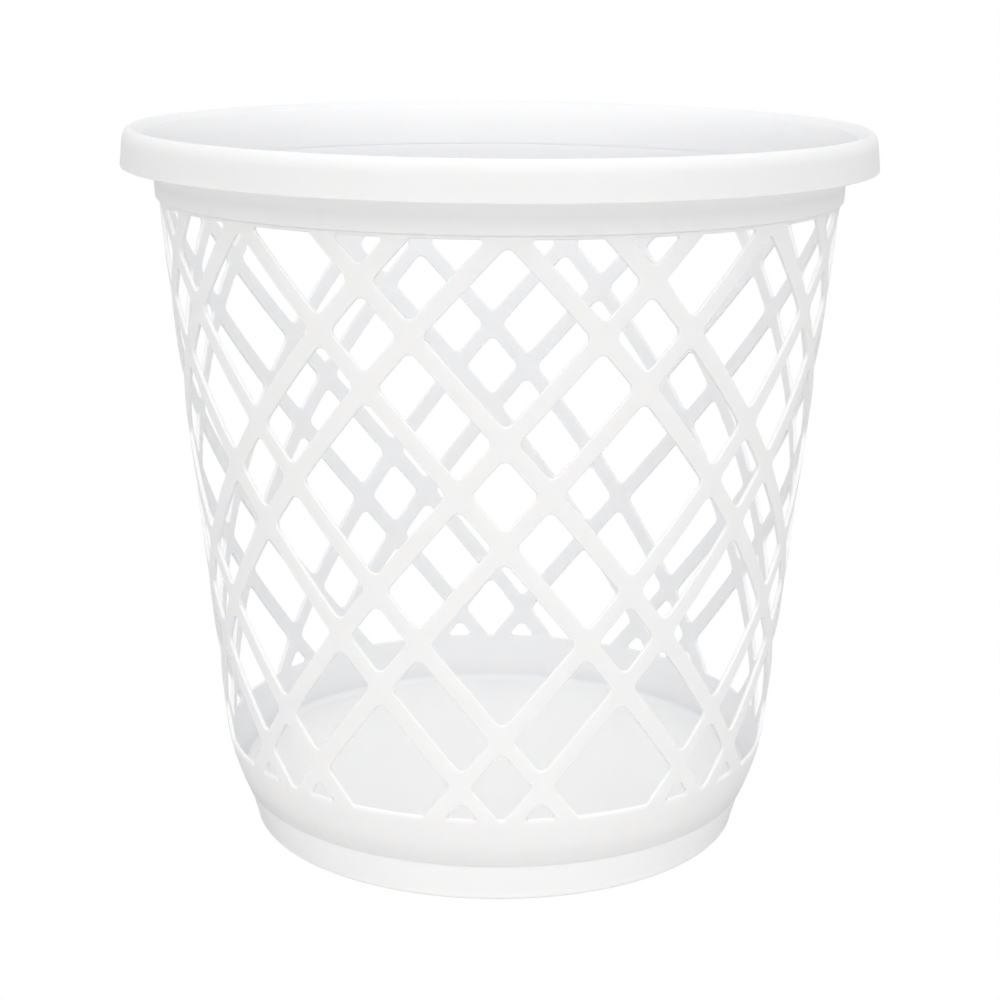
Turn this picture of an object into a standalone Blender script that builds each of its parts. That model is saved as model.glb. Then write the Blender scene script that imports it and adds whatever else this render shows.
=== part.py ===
"""Round lattice wastebasket: wall moulding, base and lift-off liner ring.

Metres, +Z up.  Origin: centre of the circle on which the foot ring rests.
Front is -Y; the lattice is mirror symmetric about the YZ plane.
"""
import math

import bmesh
import bpy
from mathutils import Vector
from mathutils.geometry import delaunay_2d_cdt

TURN = 2 * math.pi
SEGMENTS = 64                 # facets round every turned surface
FACET_ANGLES = [TURN * k / SEGMENTS for k in range(SEGMENTS)]
SHARP_ANGLE = math.radians(32.0)
GAP = 0.0003                  # clearance between separate mouldings

# ---------------------------------------------------------------- base
FOOT_R0 = 0.0938              # foot ring, outer radius of the flat it stands on
FOOT_R1 = 0.0984              # foot ring, outer radius at its shoulder
FOOT_H = 0.0145               # height of the shoulder
FOOT_T = 0.0018               # foot ring wall
FOOT_FILLET = 0.0012          # the floor's underside stops this far short of that wall
FOOT_LOW_R = 0.0950           # end of the straight side, where the lower edge's rounding begins
FOOT_LOW_Z = 0.0030
FOOT_FLAT = 0.0016            # width of the flat the bin rests on
FLOOR_T = 0.0020              # floor thickness
FLOOR_Z = 0.0168              # upper face of the floor

# ---------------------------------------------------------------- wall: band, lattice, collar
BAND_Z0 = 0.0148              # lower edge of the wall moulding
BAND_SLOPE = 0.20             # the band leans in below the lattice at this slope at first,
BAND_CURVE = 5.9              # and then ever more, in metres per metre squared
BAND_ROWS = 3                 # rows of facets down the band
LAT_Z0 = 0.0356               # top of the solid band, where the windows begin
LAT_R0 = 0.10561
LAT_Z1 = 0.2420               # lower edge of the collar, where the windows end
LAT_R1 = 0.12651
WALL_T = 0.0016               # wall thickness, measured horizontally

COLLAR_STEP = 0.0011          # the collar stands out from the lattice by this much
COLLAR_Z = LAT_Z1 + 0.0007    # top of that step
COLLAR_R = 0.1282             # collar's outer radius near the ring's skirt
SEAT_Z = 0.2509               # step inside the collar, under the lip
SEAT_R = 0.1252
FLANGE_Z = 0.2552             # underside of the flange round the collar, inside the skirt
FLANGE_R = 0.1379
FLANGE_RISE = 0.0003          # the underside rises this much outwards
FLANGE_T = 0.0011
LIP_CLEARANCE = 0.0002        # between wall and lip, on top of GAP

# ---------------------------------------------------------------- liner ring
SKIRT_Z = 0.2549              # lower edge of the ring's skirt
RIM_R = 0.1400                # skirt's lower edge, the largest radius of the object
SKIRT_TOP_R = 0.1391          # end of the skirt's straight side
SKIRT_TOP_Z = 0.2637
TOP_Z = 0.2686                # crown's ridge
RIDGE_R = 0.1366
SHOULDER_POWER = 1.18         # above 1: shoulder a little flatter than an ellipse
RING_T = 0.0015
LIP_TOP_R = 0.1312            # inner edge of the crown, where the funnel lip begins
LIP_TOP_Z = 0.2664
LIP_END_Z = LIP_TOP_Z - 0.0005    # upper end of the lip's inner face
LIP_Z = 0.2514                # lower edge of the funnel lip inside the collar
LIP_R = 0.1247                # its inner radius there
LIP_T = 0.0010
LIP_FLARE = 0.58              # share of the lip's flare that comes near its top
LIP_ROWS = 3

# ---------------------------------------------------------------- lattice rule
# Two mirrored families of helical ribs.  In each family the ribs stand in pairs,
# a pair every SECTOR, its two ribs PAIR_GAP apart.
SECTOR = math.radians(45.0)
PAIR_GAP = math.radians(15.12)
WIDE_GAP = math.radians(20.0)  # tells the gap between pairs from the gap within one
FAMILY_RIBS = 2 * round(TURN / SECTOR)
RIB_REACH = 40                # rib numbers of the second family tried, either side of 0
TWIST = math.radians(413.0)   # turn of a rib per metre of height, at MID_Z
TWIST_GAIN = 1.0              # the ribs lean over slightly more towards the top, rad per m2
MID_Z = 0.13743               # height at which the first ribs of both families cross in front
TOE_Z = 0.120                 # below this the ribs lean over a little more again
TOE_GAIN = 2.9                # how much more, rad per m2
RIB_W = 0.0063                # rib width, square to the rib
RIB_W_SILL = 0.0046           # where a pair of ribs closes a small window on the band
WINDOW_ROUND = 0.0027         # rounding of the window corners between ribs
SILL_ROUND = 0.0009           # rounding where a rib meets the band or the collar
CORNER_STEPS = 1              # facets in each rounded corner
MIN_WINDOW = 0.0012           # a window is closed if half its least width is no more than this
SIDE_SPAN = math.radians(8.5)      # widest angle a window side covers undivided
FACET_CLEAR = math.radians(1.3)    # least angle from an added sill point to a given one

SILLS = (LAT_Z0, LAT_Z1)      # heights at which the lattice meets the band and the collar
OUTER, INNER = 0, 1           # the two skins of the wall


def plastic(name, colour, roughness):
    material = bpy.data.materials.new(name)
    material.use_nodes = True
    shader = material.node_tree.nodes["Principled BSDF"]
    shader.inputs["Base Color"].default_value = (*colour, 1.0)
    shader.inputs["Roughness"].default_value = roughness
    shader.inputs["Metallic"].default_value = 0.0
    return material


def finish(name, bm, material, origin_z=0.0):
    """Turn a closed bmesh into an object with outward normals."""
    bmesh.ops.triangulate(bm, faces=bm.faces[:])
    bm.normal_update()
    if bm.calc_volume(signed=True) < 0.0:
        bmesh.ops.reverse_faces(bm, faces=bm.faces[:])
    mesh = bpy.data.meshes.new(name)
    bm.to_mesh(mesh)
    bm.free()
    mesh.materials.append(material)
    mesh.shade_smooth()
    mesh.set_sharp_from_angle(angle=SHARP_ANGLE)
    obj = bpy.data.objects.new(name, mesh)
    obj.location = (0.0, 0.0, origin_z)
    bpy.context.scene.collection.objects.link(obj)


def turned(name, profile, material, origin_z=0.0):
    """Turn a closed profile of (radius, height) points, counter-clockwise in the r-z plane,
    about Z.  Points with radius 0 become a single pole vertex."""
    bm = bmesh.new()
    rings = []
    for r, z in profile:
        angles = FACET_ANGLES if r > 0.0 else [0.0]
        rings.append([bm.verts.new((r * math.cos(a), r * math.sin(a), z - origin_z))
                      for a in angles])
    for ring, after in zip(rings, rings[1:] + rings[:1]):
        if len(ring) == 1 and len(after) == 1:
            continue
        for k in range(SEGMENTS):
            k2 = (k + 1) % SEGMENTS
            if len(ring) == 1:
                bm.faces.new((ring[0], after[k2], after[k]))
            elif len(after) == 1:
                bm.faces.new((ring[k], ring[k2], after[0]))
            else:
                bm.faces.new((ring[k], ring[k2], after[k2], after[k]))
    finish(name, bm, material, origin_z)


# ---------------------------------------------------------------- surfaces of the pieces
def band_r(z):
    """Outer radius of the solid band, curving in towards its lower edge."""
    drop = LAT_Z0 - z
    return LAT_R0 - BAND_SLOPE * drop - BAND_CURVE * drop * drop


def lat_r(z):
    """Outer radius of the lattice cone."""
    return LAT_R0 + (LAT_R1 - LAT_R0) * (z - LAT_Z0) / (LAT_Z1 - LAT_Z0)


def lip_inner(s):
    """Inner radius of the funnel lip, s = 0 at its lower edge and 1 at the crown."""
    return LIP_R + (LIP_TOP_R - LIP_R) * ((1.0 - LIP_FLARE) * s + LIP_FLARE * s ** 3)


def lip_clear(z):
    """Inner radius of the wall above the collar, clear of the ring's funnel lip."""
    s = max(0.0, min(1.0, (z + 0.0004 - LIP_Z) / (LIP_END_Z - LIP_Z)))
    return lip_inner(s) + LIP_T + 0.0009 * s + GAP + LIP_CLEARANCE


def crown_under(r):
    """Height of the crown's underside: it falls from the ridge towards the mouth."""
    return TOP_Z - RING_T - (TOP_Z - LIP_TOP_Z) * (RIDGE_R - r) / (RIDGE_R - LIP_TOP_R)


# ---------------------------------------------------------------- base and liner ring
def build_base():
    """Floor and foot ring, with a plug that fits inside the band."""
    plug_r = band_r(BAND_Z0) - WALL_T - GAP
    profile = [
        (0.0, FLOOR_Z - FLOOR_T),
        (FOOT_R1 - FOOT_T - FOOT_FILLET, FLOOR_Z - FLOOR_T),
        (FOOT_R0 - FOOT_FLAT, 0.0),
        (FOOT_R0, 0.0),
        (FOOT_R0 + (FOOT_LOW_R - FOOT_R0) * 0.6, FOOT_LOW_Z * 0.27),
        (FOOT_LOW_R, FOOT_LOW_Z),
        (FOOT_R1, FOOT_H),
        (plug_r, FOOT_H),
        (plug_r, FLOOR_Z),
        (0.0, FLOOR_Z),
    ]
    turned("base", profile, plastic("base_plastic", colour=(0.87, 0.87, 0.87), roughness=0.40))


def ring_profile():
    """Outside first, from the skirt's lower edge up over the crown, down the lip inside,
    then back through the hollow channel underneath."""
    points = [(RIM_R, SKIRT_Z), (SKIRT_TOP_R, SKIRT_TOP_Z)]
    for degrees in (30.0, 60.0, 90.0):
        angle = math.radians(degrees)
        points.append((
            RIDGE_R + (SKIRT_TOP_R - RIDGE_R) * math.cos(angle) ** SHOULDER_POWER,
            SKIRT_TOP_Z + (TOP_Z - SKIRT_TOP_Z) * math.sin(angle) ** SHOULDER_POWER))
    points += [(LIP_TOP_R + 0.0008, TOP_Z - (TOP_Z - LIP_TOP_Z) * 0.80), (LIP_TOP_R, LIP_END_Z)]
    lip_height = LIP_END_Z - LIP_Z
    for k in reversed(range(LIP_ROWS)):
        s = k / LIP_ROWS
        points.append((lip_inner(s), LIP_Z + lip_height * s))
    points.append((LIP_R + LIP_T, LIP_Z))
    for k in range(1, LIP_ROWS):        # the lip thickens upwards
        s = k / LIP_ROWS
        points.append((lip_inner(s) + LIP_T + 0.0003 * k, LIP_Z + lip_height * s - 0.0002 * k))
    channel_r = LIP_TOP_R + 0.0018
    points += [
        (channel_r, crown_under(channel_r)),
        (RIDGE_R - 0.0004, TOP_Z - RING_T),
        (RIDGE_R + 0.0004, TOP_Z - RING_T - 0.0006),
        (SKIRT_TOP_R - RING_T, SKIRT_TOP_Z - 0.0004),
        (RIM_R - RING_T, SKIRT_Z),
    ]
    return points


def build_liner_ring():
    material = plastic("ring_plastic", colour=(0.88, 0.88, 0.89), roughness=0.34)
    turned("liner_ring", ring_profile(), material, origin_z=SKIRT_Z)


# ---------------------------------------------------------------- rib pattern
# A rib of the first family is the line u = angle + turn, one of the second v = turn - angle.
def rib_line(i):
    """Pattern angle of rib number i of a family."""
    return SECTOR * (i // 2) + (PAIR_GAP if i % 2 else 0.0)


def turn_at(z):
    """Turn of a rib between MID_Z and height z."""
    rise = z - MID_Z
    return TWIST * rise + TWIST_GAIN * rise ** 2 - TOE_GAIN * max(0.0, TOE_Z - z) ** 2


LOW = 2.0 * turn_at(LAT_Z0)   # u + v along the top of the band
HIGH = 2.0 * turn_at(LAT_Z1)  # u + v along the collar's lower edge


def crossing(u, v):
    """Angle and height at which the lines u and v of the two families cross."""
    turn = (u + v) / 2.0
    # turn_at as a quadratic a, b, c in the height above MID_Z
    if turn >= turn_at(TOE_Z):
        a, b, c = TWIST_GAIN, TWIST, -turn
    else:
        toe = TOE_Z - MID_Z
        a = TWIST_GAIN - TOE_GAIN
        b = TWIST + 2.0 * TOE_GAIN * toe
        c = -turn - TOE_GAIN * toe ** 2
    return (u - v) / 2.0, MID_Z + (math.sqrt(b ** 2 - 4.0 * a * c) - b) / (2.0 * a)


# ---------------------------------------------------------------- plane polygons
def clip(poly):
    """Keep the part of a convex (u, v) polygon between the band and the collar."""
    for limit, sign in ((LOW, 1.0), (HIGH, -1.0)):
        kept = []
        for k, p in enumerate(poly):
            q = poly[(k + 1) % len(poly)]
            dp = sign * (p[0] + p[1] - limit)
            dq = sign * (q[0] + q[1] - limit)
            if dp >= -1e-12:
                kept.append(p)
            if (dp > 1e-12 and dq < -1e-12) or (dp < -1e-12 and dq > 1e-12):
                f = dp / (dp - dq)
                kept.append((p[0] + (q[0] - p[0]) * f, p[1] + (q[1] - p[1]) * f))
        poly = kept
        if len(poly) < 3:
            return []
    return poly


def half_width(poly):
    """Half the least width of a convex polygon, over its edge directions."""
    best = math.inf
    for k, p in enumerate(poly):
        q = poly[(k + 1) % len(poly)]
        ex, ey = q[0] - p[0], q[1] - p[1]
        length = math.hypot(ex, ey)
        if length < 1e-9:
            continue
        best = min(best, max(abs((w[0] - p[0]) * ey - (w[1] - p[1]) * ex) / length for w in poly))
    return best / 2.0


def rounded(poly, radii):
    """Round the corners of a convex counter-clockwise polygon."""
    out = []
    for k, corner in enumerate(poly):
        p = Vector(corner)
        to_last = Vector(poly[k - 1]) - p
        to_next = Vector(poly[(k + 1) % len(poly)]) - p
        last_length, next_length = to_last.length, to_next.length
        to_last.normalize()
        to_next.normalize()
        half = math.acos(max(-1.0, min(1.0, to_last.dot(to_next)))) / 2.0
        cut = min(radii[k] / math.tan(half), 0.42 * last_length, 0.42 * next_length)
        radius = cut * math.tan(half)
        centre = p + (to_last + to_next).normalized() * (radius / math.sin(half))
        arm = p + to_last * cut - centre
        for m in range(CORNER_STEPS + 1):
            angle = (math.pi - 2.0 * half) * m / CORNER_STEPS
            ca, sa = math.cos(angle), math.sin(angle)
            out.append((centre.x + arm.x * ca - arm.y * sa, centre.y + arm.x * sa + arm.y * ca))
    return out


def inside(x, y, poly):
    hit = False
    for k, p in enumerate(poly):
        q = poly[(k + 1) % len(poly)]
        if (p[1] > y) != (q[1] > y):
            if x < p[0] + (y - p[1]) * (q[0] - p[0]) / (q[1] - p[1]):
                hit = not hit
    return hit


def snapped(points, tolerance):
    """Put (angle, height) points that lie close to a sill exactly on it."""
    return [(angle, next((sill for sill in SILLS if abs(z - sill) < tolerance), z))
            for angle, z in points]


# ---------------------------------------------------------------- skins of the wall
def angle_key(angle):
    """Angle in whole microradians within one turn."""
    return round((angle % TURN) * 1e6) % round(TURN * 1e6)


def wall_point(angle, r, z):
    """Point of the wall; angle 0 is the front, growing towards +X."""
    return r * math.sin(angle), -r * math.cos(angle), z


class Skin:
    """The wall's mesh; lattice vertices are shared by angle, height and side."""

    def __init__(self):
        self.bm = bmesh.new()
        self.verts = {}
        self.sill_keys = {z: set() for z in SILLS}

    def vert(self, angle, z, side):
        key = (angle_key(angle), round(z * 1e7), side)
        if key not in self.verts:
            r = lat_r(z) - (WALL_T if side == INNER else 0.0)
            self.verts[key] = self.bm.verts.new(wall_point(angle, r, z))
        return self.verts[key]

    def tri(self, a, b, c):
        if a is b or b is c or a is c:
            return
        self.bm.faces.new((a, b, c))

    def regular(self, r, z):
        """Ring of (angle, vertex) at the regular facets."""
        return [(a, self.bm.verts.new(wall_point(a, r, z))) for a in FACET_ANGLES]

    def sill(self, z, side):
        """Ring of (angle, vertex) where the lattice meets the band or the collar."""
        return [(key / 1e6, self.verts[(key, round(z * 1e7), side)])
                for key in sorted(self.sill_keys[z])]

    def zipper(self, low, high):
        """Triangles between two closed rings of (angle, vertex), both sorted by angle."""
        i = j = 0
        n, m = len(low), len(high)
        while i < n or j < m:
            a, b = low[i % n][1], high[j % m][1]
            low_angle, low_next = low[(i + 1) % n]
            high_angle, high_next = high[(j + 1) % m]
            low_angle += TURN if i + 1 >= n else 0.0
            high_angle += TURN if j + 1 >= m else 0.0
            if j >= m or (i < n and low_angle <= high_angle):
                self.tri(a, low_next, b)
                i += 1
            else:
                self.tri(a, high_next, b)
                j += 1

    def join(self, rings):
        for low, high in zip(rings, rings[1:]):
            self.zipper(low, high)

    def close_reveals(self):
        """Join the open edges of the outer skin to the inner one, round each window."""
        twin = {v: self.verts[(angle, z, INNER)]
                for (angle, z, side), v in self.verts.items() if side == OUTER}
        open_edges = [e for e in self.bm.edges if len(e.link_faces) == 1
                      and e.verts[0] in twin and e.verts[1] in twin]
        for edge in open_edges:
            loop = edge.link_loops[0]
            a, b = loop.vert, loop.link_loop_next.vert
            self.bm.faces.new((b, a, twin[a], twin[b]))


# ---------------------------------------------------------------- lattice cells
def cell_outline(u0, u1, v0, v1):
    """Outline along the rib centre lines, wide gaps divided in three."""
    def divided(a, b):
        parts = 3 if b - a > WIDE_GAP else 1
        return [a + (b - a) * k / parts for k in range(parts)]

    us, vs = divided(u0, u1), divided(v0, v1)
    return clip([(u, v0) for u in us] + [(u1, v) for v in vs]
                + [(u1 + u0 - u, v1) for u in us] + [(u0, v1 + v0 - v) for v in vs])


def window_loop(u0, u1, v0, v1, half_rib, mid_r):
    """Rounded window as (angle, height) points, or an empty list if it is closed."""
    if min(u1 - u0, v1 - v0) <= 2.2 * half_rib:
        return []
    left, right, bottom, top = u0 + half_rib, u1 - half_rib, v0 + half_rib, v1 - half_rib
    window = clip([(left, bottom), (right, bottom), (right, top), (left, top)])
    if not window:
        return []
    # lay the window out flat on the cone, leaving out repeated corners
    slant = math.hypot(1.0, (LAT_R1 - LAT_R0) / (LAT_Z1 - LAT_Z0))
    flat, radii = [], []
    for u, v in window:
        angle, z = crossing(u, v)
        point = (mid_r * angle, slant * z)
        if not flat or math.dist(point, flat[-1]) > 1e-5:
            on_sill = abs(u + v - LOW) < 1e-6 or abs(u + v - HIGH) < 1e-6
            flat.append(point)
            radii.append(SILL_ROUND if on_sill else WINDOW_ROUND)
    if math.dist(flat[0], flat[-1]) < 1e-5:
        flat.pop()
        radii.pop()
    if len(flat) < 3 or half_width(flat) <= MIN_WINDOW:
        return []
    loop = snapped([(x / mid_r, y / slant) for x, y in rounded(flat, radii)], 2e-6)
    return divided_sides(loop)


def divided_sides(loop):
    """Divide long window sides, so that they follow the cone."""
    fine = []
    for k, p in enumerate(loop):
        q = loop[(k + 1) % len(loop)]
        fine.append(p)
        if p[1] == q[1] and p[1] in SILLS:
            continue
        n = int(abs(q[0] - p[0]) / SIDE_SPAN)
        for m in range(1, n + 1):
            s = m / (n + 1)
            fine.append((p[0] + (q[0] - p[0]) * s, p[1] + (q[1] - p[1]) * s))
    return fine


def sill_facets(points):
    """Points of the regular facets along the sills, away from the given points."""
    step = TURN / SEGMENTS
    extra = []
    for sill in SILLS:
        on = sorted(angle for angle, z in points if z == sill)
        if len(on) < 2:
            continue
        k = math.ceil(on[0] / step)
        while k * step < on[-1]:
            if all(abs(k * step - angle) > FACET_CLEAR for angle in on):
                extra.append((k * step, sill))
            k += 1
    return extra


def add_cell(skin, i, j):
    """Both skins of the lattice between ribs i, i + 1 of one family and j, j + 1 of the other."""
    u0, u1, v0, v1 = rib_line(i), rib_line(i + 1), rib_line(j), rib_line(j + 1)
    outline = cell_outline(u0, u1, v0, v1)
    if not outline:
        return
    us = [u for u, _ in outline]
    vs = [v for _, v in outline]
    centre = (min(us) + max(us) + min(vs) + max(vs)) / 2.0
    mid_z = min(max(crossing(centre / 2.0, centre / 2.0)[1], LAT_Z0), LAT_Z1)
    mid_r = lat_r(mid_z)
    ring = [crossing(u, v) for u, v in outline]
    small_on_band = (max(u1 - u0, v1 - v0) < WIDE_GAP
                     and min(z for _, z in ring) < LAT_Z0 + 1e-6)
    rib_width = RIB_W_SILL if small_on_band else RIB_W
    twist_here = TWIST + 2.0 * TWIST_GAIN * (mid_z - MID_Z)
    half_rib = rib_width / 2.0 * math.sqrt(1.0 / mid_r ** 2 + twist_here ** 2)
    loop = window_loop(u0, u1, v0, v1, half_rib, mid_r)
    ring = snapped(ring, 1e-8)
    points = ring + loop + sill_facets(ring + loop)

    n = len(ring)
    edges = [(k, (k + 1) % n) for k in range(n)]
    edges += [(n + k, n + (k + 1) % len(loop)) for k in range(len(loop))]
    flat = [Vector((angle * mid_r, z)) for angle, z in points]
    co, _, faces, orig, _, _ = delaunay_2d_cdt(flat, edges, [], 1, 1e-7, True)
    where = [points[orig[k][0]] if orig[k] else (co[k].x / mid_r, co[k].y)
             for k in range(len(co))]
    for face in faces:
        x = sum(co[k].x for k in face) / len(face) / mid_r
        y = sum(co[k].y for k in face) / len(face)
        if (loop and inside(x, y, loop)) or not inside(x, y, ring):
            continue
        w = [where[k] for k in face]
        area = ((w[1][0] - w[0][0]) * (w[2][1] - w[0][1])
                - (w[2][0] - w[0][0]) * (w[1][1] - w[0][1]))
        if abs(area) < 1e-13:
            continue
        if area < 0:
            w.reverse()
        outer = [skin.vert(angle, z, OUTER) for angle, z in w]
        inner = [skin.vert(angle, z, INNER) for angle, z in w]
        skin.tri(*outer)
        skin.tri(*reversed(inner))
    for angle, z in where:
        if z in SILLS:
            skin.vert(angle, z, OUTER)
            skin.vert(angle, z, INNER)
            skin.sill_keys[z].add(angle_key(angle))


# ---------------------------------------------------------------- wall moulding
def collar_profile():
    """(radius, height) from the collar's edge up outside to the bead hidden in the ring,
    then down inside past the seat."""
    bead_in, bead_out = LIP_TOP_R + 0.0023, LIP_TOP_R + 0.0040
    flange_low = FLANGE_Z + FLANGE_RISE
    return [
        (LAT_R1 + COLLAR_STEP, COLLAR_Z),
        (COLLAR_R, SKIRT_Z - 0.0006),
        # flange
        (COLLAR_R + 0.0006, FLANGE_Z),
        (FLANGE_R, flange_low),
        (FLANGE_R, flange_low + FLANGE_T),
        (COLLAR_R + 0.0018, FLANGE_Z + 0.0004 + FLANGE_T),
        # neck and bead under the crown
        (COLLAR_R + 0.0028, 0.2605),
        (COLLAR_R + 0.0054, 0.2633),
        (bead_out, 0.2642),
        (bead_out, crown_under(bead_out) - GAP),
        (bead_in, crown_under(bead_in) - GAP),
        # inside, behind the lip
        (lip_clear(0.2640) + 0.0003, 0.2640),
        (lip_clear(0.2600) + 0.0002, 0.2600),
        (lip_clear(LIP_Z) + 0.0001, SEAT_Z + 0.0001),
        (SEAT_R, SEAT_Z - 0.0001),
        (LAT_R1 - WALL_T + 0.0001, COLLAR_Z + 0.0008),
    ]


def band_profile():
    """(radius, height) down the inside of the band and back up its outside."""
    rows = [LAT_Z0 + (BAND_Z0 - LAT_Z0) * k / BAND_ROWS for k in range(1, BAND_ROWS + 1)]
    return [(band_r(z) - WALL_T, z) for z in rows] + [(band_r(z), z) for z in reversed(rows)]


def build_wall():
    skin = Skin()
    for i in range(FAMILY_RIBS):
        for j in range(-RIB_REACH, RIB_REACH):
            low = rib_line(i) + rib_line(j)
            high = rib_line(i + 1) + rib_line(j + 1)
            if high > LOW + 1e-9 and low < HIGH - 1e-9:
                add_cell(skin, i, j)
    for sill, start, end, profile in ((LAT_Z1, OUTER, INNER, collar_profile()),
                                      (LAT_Z0, INNER, OUTER, band_profile())):
        skin.join([skin.sill(sill, start)]
                  + [skin.regular(r, z) for r, z in profile]
                  + [skin.sill(sill, end)])
    skin.close_reveals()
    finish("wall", skin.bm, plastic("wall_plastic", colour=(0.86, 0.86, 0.87), roughness=0.38))


for old in list(bpy.data.objects):
    bpy.data.objects.remove(old, do_unlink=True)

build_base()
build_liner_ring()
build_wall()
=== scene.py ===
"""Round lattice wastebasket: a tapering wall of crossing ribs, a base and a separate liner ring.

Metres, +Z up.  The basket stands on z = 0 with its axis on Z, and the camera looks at it from
the front, -Y.  Angles round the axis start at the front and grow towards +X.
"""
import math

import bpy
from mathutils import Matrix, Vector
from mathutils.geometry import delaunay_2d_cdt


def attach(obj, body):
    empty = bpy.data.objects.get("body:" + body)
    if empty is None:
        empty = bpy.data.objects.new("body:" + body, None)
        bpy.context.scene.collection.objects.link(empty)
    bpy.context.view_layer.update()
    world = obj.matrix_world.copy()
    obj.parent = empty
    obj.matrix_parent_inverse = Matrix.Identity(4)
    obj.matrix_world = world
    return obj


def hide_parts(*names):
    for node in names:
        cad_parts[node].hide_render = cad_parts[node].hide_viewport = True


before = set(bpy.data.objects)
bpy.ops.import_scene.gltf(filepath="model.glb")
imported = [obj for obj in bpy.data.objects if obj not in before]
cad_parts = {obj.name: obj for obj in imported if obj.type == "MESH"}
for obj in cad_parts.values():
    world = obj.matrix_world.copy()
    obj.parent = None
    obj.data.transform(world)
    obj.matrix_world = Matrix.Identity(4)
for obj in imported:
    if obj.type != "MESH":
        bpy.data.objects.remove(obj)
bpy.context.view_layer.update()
TAU = 2.0 * math.pi

# ------------------------------------------------------------------ sizes
# Foot and floor
FOOT_BOTTOM_R, FOOT_TOP_R = 0.0938, 0.0984
FOOT_LOW_R, FOOT_LOW_Z = 0.0950, 0.0030
FLOOR_T, FLOOR_Z = 0.0020, 0.0168

# Wall: a plain band that curves in below the lattice cone
WALL_T = 0.0016
BAND_Z0, BAND_SLOPE, BAND_CURVE = 0.0148, 0.20, 5.9
BAND_BLEND = 0.0012             # height over which the band runs into the cone
LAT_Z0, LAT_R0 = 0.0356, 0.10561
LAT_Z1, LAT_R1 = 0.2420, 0.12651
LAT_SLOPE = (LAT_R1 - LAT_R0) / (LAT_Z1 - LAT_Z0)
SLANT = math.hypot(1.0, LAT_SLOPE)      # length along the cone per unit of height

# Collar and flange at the top of the wall
COLLAR_STEP, COLLAR_R = 0.0011, 0.1282
SEAT_Z, SEAT_R = 0.2513, 0.1249
FLANGE_Z, FLANGE_R, FLANGE_T = 0.2552, 0.1379, 0.0011
GAP = 0.0003                    # clearance between wall and ring

# Liner ring: outer skirt, crown, and a lip that narrows downwards like a funnel
RING_T, LIP_T = 0.0015, 0.0007
SKIRT_Z, RIM_R = 0.2549, 0.1400
SKIRT_TOP_R, SKIRT_TOP_Z = 0.1391, 0.2637
TOP_Z, RIDGE_R = 0.2686, 0.1366
LIP_TOP_R, LIP_TOP_Z = 0.1312, 0.2664
LIP_Z, LIP_R, LIP_FLARE = 0.2514, 0.1247, 0.58
LIP_SPAN = LIP_TOP_Z - 0.0005 - LIP_Z
LIP_STEPS = 12
SHOULDER_STEPS, SHOULDER_POWER = 16, 1.18   # a little off an ellipse, whose power is 1

# Lattice: ribs in pairs, one family leaning left as it rises, one leaning right
RIB_PAIRS = 8
SECTOR = TAU / RIB_PAIRS
PAIR_GAP = math.radians(15.12)
TWIST = math.radians(413.0)     # turn per metre of height at MID_Z
TWIST_GAIN = 1.0                # change of turn with the square of height
MID_Z = 0.13743
TOE_Z, TOE_GAIN = 0.120, 2.9    # below this height the ribs lean over more again
RIB_W = 0.0063
RIB_W_SILL = 0.0046             # where a pair of ribs closes a small window on the band
WIDE_CELL = math.radians(20.0)  # cells narrower than this lie between the ribs of a pair
WINDOW_ROUND = 0.0027
SILL_ROUND = 0.0009             # corners on the sill and the head
MIN_WINDOW = 0.0012             # half the least width of a window
WINDOW_BOX = 0.2                # half side of the square that windows are cut out of
SILL_TOP = 0.003                # sill rounding reaches this far above LAT_Z0

# Rounded edges of the windows
EDGE = 0.00055
SILL_EDGE_DOWN, SILL_EDGE_IN = 0.0021, 0.00100  # sill's outer edge: down the face, into the wall
EDGE_STEPS, CORNER_STEPS = 4, 7
SIDE_STEP = 0.0035              # longest division of a window's straight side

# The lattice mesh reaches this far past the windows, at the bottom and the top
MESH_Z0, MESH_Z1 = LAT_Z0 - 0.0029, LAT_Z1 + 0.0008
SEGMENTS = 384                  # facets round a turned surface


# ------------------------------------------------------------------ mesh with exact normals
class Shell:
    """Points, normals and faces, placed by angle, radius and height."""

    def __init__(self):
        self.points, self.normals, self.faces = [], [], []

    def add(self, angle, radius, z, out, up, around=0.0):
        sin, cos = math.sin(angle), math.cos(angle)
        self.points.append((radius * sin, -radius * cos, z))
        normal = Vector((out * sin + around * cos, -out * cos + around * sin, up))
        self.normals.append(tuple(normal.normalized()))
        return len(self.points) - 1

    def add_pole(self, z, up):
        self.points.append((0.0, 0.0, z))
        self.normals.append((0.0, 0.0, 1.0 if up > 0 else -1.0))
        return len(self.points) - 1

    def add_ring(self, radius, z, out, up):
        return [self.add(TAU * k / SEGMENTS, radius, z, out, up) for k in range(SEGMENTS)]

    def join_rings(self, low, high):
        """Faces between two rings of equal count, or a ring and a pole."""
        count = max(len(low), len(high))
        for k in range(count):
            after = (k + 1) % count
            if len(low) == 1:
                self.faces.append((low[0], high[after], high[k]))
            elif len(high) == 1:
                self.faces.append((low[k], low[after], high[0]))
            else:
                self.faces.append((low[k], low[after], high[after], high[k]))

    def build(self, name):
        mesh = bpy.data.meshes.new(name)
        mesh.from_pydata(self.points, [], self.faces)
        mesh.validate(verbose=False)
        mesh.shade_smooth()
        # custom normals only fit if validation left every vertex
        if len(mesh.vertices) == len(self.normals):
            mesh.normals_split_custom_set_from_vertices(self.normals)
        mesh.update()
        obj = bpy.data.objects.new(name, mesh)
        bpy.context.scene.collection.objects.link(obj)
        return obj


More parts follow.
